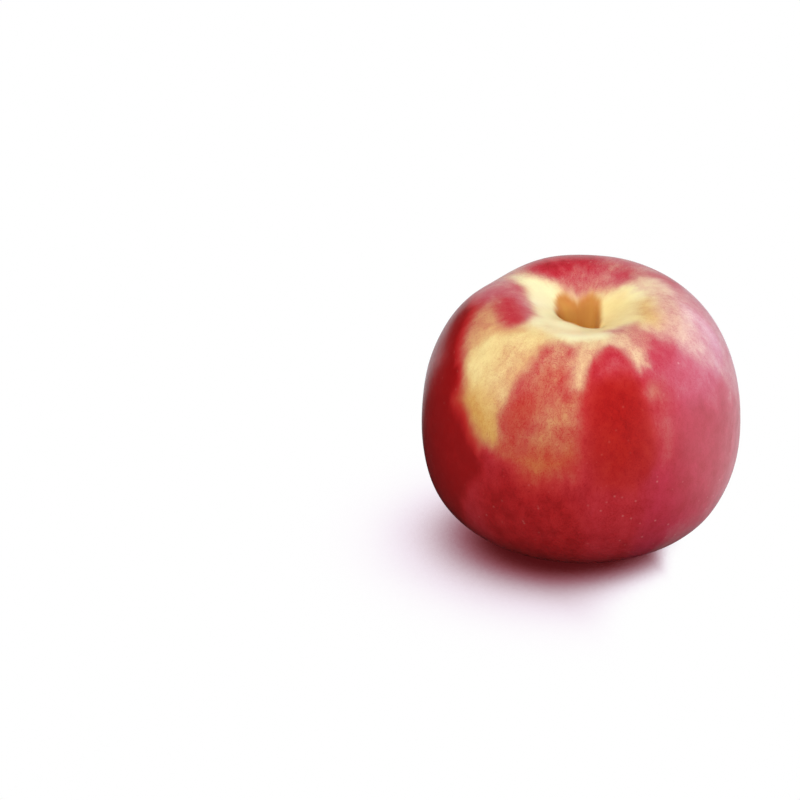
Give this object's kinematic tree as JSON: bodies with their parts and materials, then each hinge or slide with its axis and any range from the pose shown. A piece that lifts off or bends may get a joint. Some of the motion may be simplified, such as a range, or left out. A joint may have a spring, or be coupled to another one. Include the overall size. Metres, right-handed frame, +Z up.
{
  "type": "peach",
  "caption": "Whole ripe peach of the smooth-skinned nectarine kind, with a stem hollow and a suture groove, resting on a small flat spot.",
  "frame": {"origin": "middle of the bounding box at its base, on the surface that the fruit rests on", "axes": "+Z up from the resting surface, -Y towards the side that the leaning stem hollow faces, +X to the right of a viewer who looks along +Y"},
  "size_m": [0.0724, 0.0692, 0.0652],
  "materials": {
    "skin": "smooth waxy fruit skin, crimson blush over a cream-yellow ground colour, satin gloss"
  },
  "bodies": {
    "root": {"peach": "skin"}
  },
  "joints": []
}
